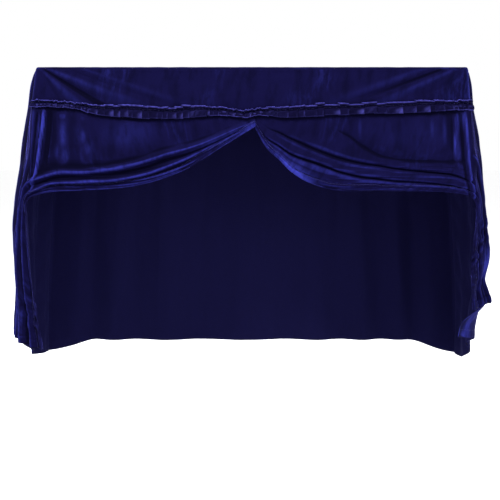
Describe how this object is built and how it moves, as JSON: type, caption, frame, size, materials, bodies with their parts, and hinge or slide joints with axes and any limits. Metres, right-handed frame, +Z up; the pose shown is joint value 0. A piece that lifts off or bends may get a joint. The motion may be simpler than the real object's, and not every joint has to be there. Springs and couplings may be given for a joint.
{
  "type": "piano cover",
  "caption": "Fitted velvet cover for an upright piano: top panel, hanging sides and back, a ruched trim across the front and two swept curtains that part over the keyboard.",
  "frame": {"origin": "middle of the top panel's underside, where the cover lies on the piano's lid", "axes": "+Z up, +X to the right along the keyboard as the player sees it, -Y towards the player and +Y towards the wall behind the piano"},
  "size_m": [1.7488, 0.6016, 1.1195],
  "materials": {
    "blue_velvet": "royal blue velvet with a short soft pile, dark face on and bright where it is seen along the cloth",
    "trim_velvet": "the same royal blue velvet, cut as a narrow strip and stitched down in small pleats"
  },
  "bodies": {
    "root": {"top_panel": "blue_velvet", "front_yoke": "blue_velvet", "ruched_trim": "trim_velvet", "curtain_left": "blue_velvet", "curtain_right": "blue_velvet", "side_left": "blue_velvet", "side_right": "blue_velvet", "back_panel": "blue_velvet"}
  },
  "joints": []
}
